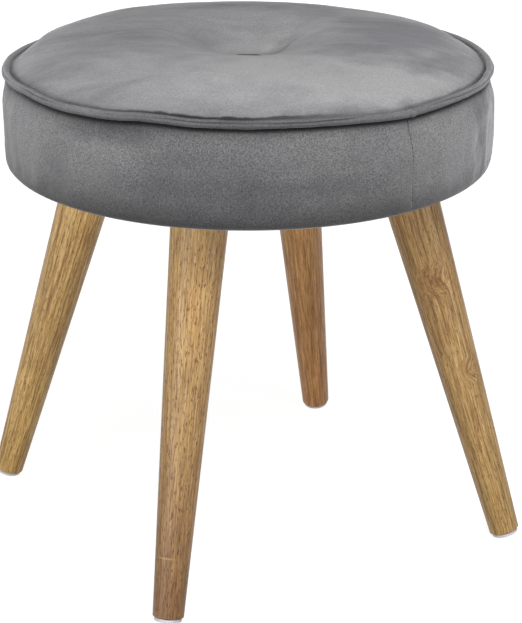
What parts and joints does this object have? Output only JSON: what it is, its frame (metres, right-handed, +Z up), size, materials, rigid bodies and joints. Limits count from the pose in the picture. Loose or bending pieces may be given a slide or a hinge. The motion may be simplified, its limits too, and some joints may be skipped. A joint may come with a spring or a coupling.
{
  "type": "ottoman",
  "caption": "Round upholstered ottoman with a domed, button-tufted velvet seat, piped edge and splayed tapered wooden legs.",
  "frame": {"origin": "on the floor under the middle of the seat", "axes": "+Z up through the middle of the seat; the legs stand on the diagonals between +X and +Y; the front is at -Y"},
  "size_m": [0.401, 0.401, 0.4234],
  "materials": {
    "velvet_crown": "short grey velvet nap with soft cloudy shading",
    "velvet_band": "short grey velvet nap, darker towards the bottom",
    "velvet_piping": "grey velvet cut on the bias over a cord",
    "velvet_button": "grey velvet pulled over a button shell",
    "leg_wood": "clear satin lacquer on honey-coloured hardwood with dark pores",
    "glide_plastic": "moulded pale grey plastic",
    "plywood": "raw sanded plywood",
    "foam": "open-cell foam",
    "wadding": "loose polyester wadding",
    "cotton": "twisted cotton",
    "black_cloth": "spun-bonded cloth with a fine dot pattern",
    "black_plastic": "moulded",
    "black_steel": "satin black powder coat",
    "zinc_steel": "bright zinc plate",
    "staple_wire": "galvanised wire"
  },
  "bodies": {
    "root": {"seat_board": "plywood", "foam_core": "foam", "foam_rim": "foam", "top_wadding": "wadding", "top_panel": "velvet_crown", "side_band": "velvet_band", "piping_sleeve": "velvet_piping", "piping_cord": "cotton", "tuft_button": "velvet_button", "tuft_twine": "cotton", "twine_anchor": "black_plastic", "dust_cover": "black_cloth", "band_staples": "staple_wire", "cover_staples": "staple_wire", "plate_screws": "zinc_steel", "hanger_bolts": "zinc_steel", "glide_nails": "zinc_steel", "leg_plate_back_right": "black_steel", "leg_back_right": "leg_wood", "glide_back_right": "glide_plastic", "leg_plate_back_left": "black_steel", "leg_back_left": "leg_wood", "glide_back_left": "glide_plastic", "leg_plate_front_left": "black_steel", "leg_front_left": "leg_wood", "glide_front_left": "glide_plastic", "leg_plate_front_right": "black_steel", "leg_front_right": "leg_wood", "glide_front_right": "glide_plastic"}
  },
  "joints": []
}
